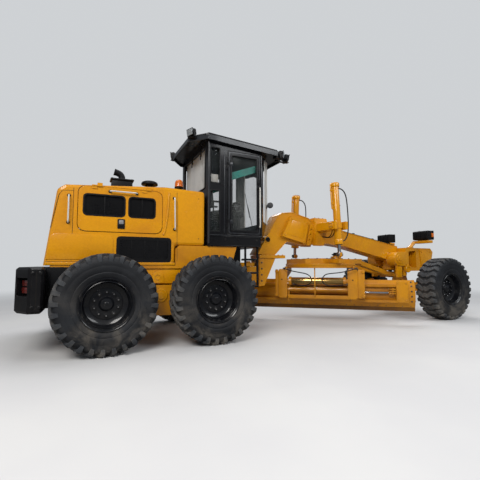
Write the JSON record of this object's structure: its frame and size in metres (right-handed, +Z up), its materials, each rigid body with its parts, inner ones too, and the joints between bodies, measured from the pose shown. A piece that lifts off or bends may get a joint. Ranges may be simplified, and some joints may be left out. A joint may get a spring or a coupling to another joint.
{
  "type": "motor grader",
  "caption": "Articulated motor grader with tandem drive wheels, enclosed cab, gooseneck frame, leaning front wheels, and a moldboard blade hung under a turning circle.",
  "frame": {"origin": "on the ground, under the middle of the machine's length and width", "axes": "+X towards the front wheels, +Y to the machine's left, +Z up"},
  "size_m": [8.81, 2.8394, 3.4232],
  "materials": {
    "yellow_paint": "glossy golden yellow paint",
    "black_paint": "satin black paint",
    "grey_iron": "dark grey iron",
    "rod_chrome": "polished cylinder rod",
    "tyre_rubber": "black rubber, a little dusty",
    "cab_glass": "clear, lightly tinted",
    "seat_vinyl": "black seat vinyl",
    "amber_lens": "amber lamp lens"
  },
  "bodies": {
    "chassis": {"rear_frame": "yellow_paint", "counterweight": "black_paint", "tandem_case_right": "yellow_paint", "tandem_case_left": "yellow_paint", "rear_axle": "yellow_paint", "hood": "yellow_paint", "engine": "grey_iron", "exhaust": "black_paint", "air_cleaner": "black_paint", "beacon": "amber_lens", "side_screen_right": "black_paint", "side_screen_left": "black_paint", "rear_grille": "black_paint", "cab_base": "black_paint", "cab_frame": "black_paint", "cab_roof": "black_paint", "windscreen": "cab_glass", "rear_window": "cab_glass", "quarter_window_right": "cab_glass", "quarter_window_left": "cab_glass", "seat": "seat_vinyl", "console": "black_paint"},
    "front_frame": {"front_frame": "yellow_paint", "lift_saddle": "yellow_paint", "headlamp_right": "black_paint", "headlamp_left": "black_paint", "front_axle": "yellow_paint"},
    "drawbar_ball": {"drawbar_ball": "grey_iron"},
    "drawbar": {"drawbar": "yellow_paint"},
    "circle": {"circle": "yellow_paint"},
    "blade_carrier": {"blade_carrier": "yellow_paint"},
    "blade": {"blade": "yellow_paint"},
    "hood_door_right": {"hood_door_right": "yellow_paint", "door_screen_right": "black_paint"},
    "cab_door_right": {"cab_door_right": "black_paint", "door_glass_right": "cab_glass"},
    "lean_yoke_right": {"lean_yoke_right": "yellow_paint"},
    "steering_knuckle_right": {"steering_knuckle_right": "yellow_paint"},
    "lift_barrel_right": {"lift_barrel_right": "yellow_paint"},
    "lift_rod_right": {"lift_rod_right": "rod_chrome"},
    "wheel_rear_right": {"tyre_rear_right": "tyre_rubber", "rim_rear_right": "black_paint"},
    "wheel_middle_right": {"tyre_middle_right": "tyre_rubber", "rim_middle_right": "black_paint"},
    "wheel_front_right": {"tyre_front_right": "tyre_rubber", "rim_front_right": "black_paint"},
    "hood_door_left": {"hood_door_left": "yellow_paint", "door_screen_left": "black_paint"},
    "cab_door_left": {"cab_door_left": "black_paint", "door_glass_left": "cab_glass"},
    "lean_yoke_left": {"lean_yoke_left": "yellow_paint"},
    "steering_knuckle_left": {"steering_knuckle_left": "yellow_paint"},
    "lift_barrel_left": {"lift_barrel_left": "yellow_paint"},
    "lift_rod_left": {"lift_rod_left": "rod_chrome"},
    "wheel_rear_left": {"tyre_rear_left": "tyre_rubber", "rim_rear_left": "black_paint"},
    "wheel_middle_left": {"tyre_middle_left": "tyre_rubber", "rim_middle_left": "black_paint"},
    "wheel_front_left": {"tyre_front_left": "tyre_rubber", "rim_front_left": "black_paint"}
  },
  "joints": [
    {"name": "articulation", "type": "hinge", "parent": "chassis", "child": "front_frame", "pos_m": [-0.645, 0, 1.01], "axis": [0, 0, 1], "range_deg": [-14, 14]},
    {"name": "drawbar_swing", "type": "hinge", "parent": "front_frame", "child": "drawbar_ball", "pos_m": [3.355, 0, 0.96], "axis": [0, 0, 1], "range_deg": [-3.5, 3.5]},
    {"name": "drawbar_lift", "type": "hinge", "parent": "drawbar_ball", "child": "drawbar", "pos_m": [3.355, 0, 0.96], "axis": [0, 1, 0], "range_deg": [-3.6, 3.5]},
    {"name": "circle_turn", "type": "hinge", "parent": "drawbar", "child": "circle", "pos_m": [1.155, 0, 1.175], "axis": [0, 0, 1], "range_deg": [-45, 2]},
    {"name": "blade_pitch", "type": "hinge", "parent": "circle", "child": "blade_carrier", "pos_m": [0.80147, -0.42132, 0.69], "axis": [0.766, -0.6428, 0], "range_deg": [-16, 8]},
    {"name": "blade_side_shift", "type": "slide", "parent": "blade_carrier", "child": "blade", "axis": [0.766, -0.6428, 0], "range_m": [-0.06, 0.55]},
    {"name": "hood_door_right_hinge", "type": "hinge", "parent": "chassis", "child": "hood_door_right", "pos_m": [-3.125, -0.804, 2.34], "axis": [-1, 0, 0], "range_deg": [0, 70]},
    {"name": "cab_door_right_hinge", "type": "hinge", "parent": "chassis", "child": "cab_door_right", "pos_m": [-1.425, -0.8123, 2.45], "axis": [0, 0, -1], "range_deg": [0, 80]},
    {"name": "wheel_rear_right_spin", "type": "hinge", "parent": "chassis", "child": "wheel_rear_right", "pos_m": [-3.325, -1.09, 0.675], "axis": [0, 1, 0], "continuous": true},
    {"name": "wheel_middle_right_spin", "type": "hinge", "parent": "chassis", "child": "wheel_middle_right", "pos_m": [-1.765, -1.09, 0.675], "axis": [0, 1, 0], "continuous": true},
    {"name": "wheel_lean_right", "type": "hinge", "parent": "front_frame", "child": "lean_yoke_right", "pos_m": [3.685, -0.76, 0.675], "axis": [1, 0, 0], "range_deg": [-15, 15]},
    {"name": "steering_right", "type": "hinge", "parent": "lean_yoke_right", "child": "steering_knuckle_right", "pos_m": [3.685, -0.93, 0.675], "axis": [0, 0, 1], "range_deg": [-35, 35]},
    {"name": "wheel_front_right_spin", "type": "hinge", "parent": "steering_knuckle_right", "child": "wheel_front_right", "pos_m": [3.685, -1.138, 0.675], "axis": [0, 1, 0], "continuous": true},
    {"name": "lift_barrel_right_tilt", "type": "hinge", "parent": "front_frame", "child": "lift_barrel_right", "pos_m": [1.025, -0.745, 1.99], "axis": [1, 0, 0], "range_deg": [-14.5, 14.5]},
    {"name": "lift_rod_right_slide", "type": "slide", "parent": "lift_barrel_right", "child": "lift_rod_right", "axis": [0, 0.0682, 0.9977], "range_m": [-0.165, 0.15]},
    {"name": "hood_door_left_hinge", "type": "hinge", "parent": "chassis", "child": "hood_door_left", "pos_m": [-3.125, 0.804, 2.34], "axis": [1, 0, 0], "range_deg": [0, 70]},
    {"name": "cab_door_left_hinge", "type": "hinge", "parent": "chassis", "child": "cab_door_left", "pos_m": [-1.425, 0.8123, 2.45], "axis": [0, 0, 1], "range_deg": [0, 80]},
    {"name": "wheel_rear_left_spin", "type": "hinge", "parent": "chassis", "child": "wheel_rear_left", "pos_m": [-3.325, 1.09, 0.675], "axis": [0, 1, 0], "continuous": true},
    {"name": "wheel_middle_left_spin", "type": "hinge", "parent": "chassis", "child": "wheel_middle_left", "pos_m": [-1.765, 1.09, 0.675], "axis": [0, 1, 0], "continuous": true},
    {"name": "wheel_lean_left", "type": "hinge", "parent": "front_frame", "child": "lean_yoke_left", "pos_m": [3.685, 0.76, 0.675], "axis": [1, 0, 0], "range_deg": [-15, 15]},
    {"name": "steering_left", "type": "hinge", "parent": "lean_yoke_left", "child": "steering_knuckle_left", "pos_m": [3.685, 0.93, 0.675], "axis": [0, 0, 1], "range_deg": [-35, 35]},
    {"name": "wheel_front_left_spin", "type": "hinge", "parent": "steering_knuckle_left", "child": "wheel_front_left", "pos_m": [3.685, 1.138, 0.675], "axis": [0, 1, 0], "continuous": true},
    {"name": "lift_barrel_left_tilt", "type": "hinge", "parent": "front_frame", "child": "lift_barrel_left", "pos_m": [1.025, 0.745, 1.99], "axis": [1, 0, 0], "range_deg": [-14.5, 14.5]},
    {"name": "lift_rod_left_slide", "type": "slide", "parent": "lift_barrel_left", "child": "lift_rod_left", "axis": [0, -0.0682, 0.9977], "range_m": [-0.165, 0.15]}
  ],
  "couplings": [
    {"joint": "lift_barrel_right_tilt", "follows": "drawbar_swing", "ratio": -3.98},
    {"joint": "lift_rod_right_slide", "follows": "drawbar_lift", "m_per_rad": 2.33},
    {"joint": "lift_barrel_left_tilt", "follows": "drawbar_swing", "ratio": -3.98},
    {"joint": "lift_rod_left_slide", "follows": "drawbar_lift", "m_per_rad": 2.33},
    {"joint": "wheel_lean_left", "follows": "wheel_lean_right", "ratio": 1},
    {"joint": "steering_left", "follows": "steering_right", "ratio": 1}
  ]
}
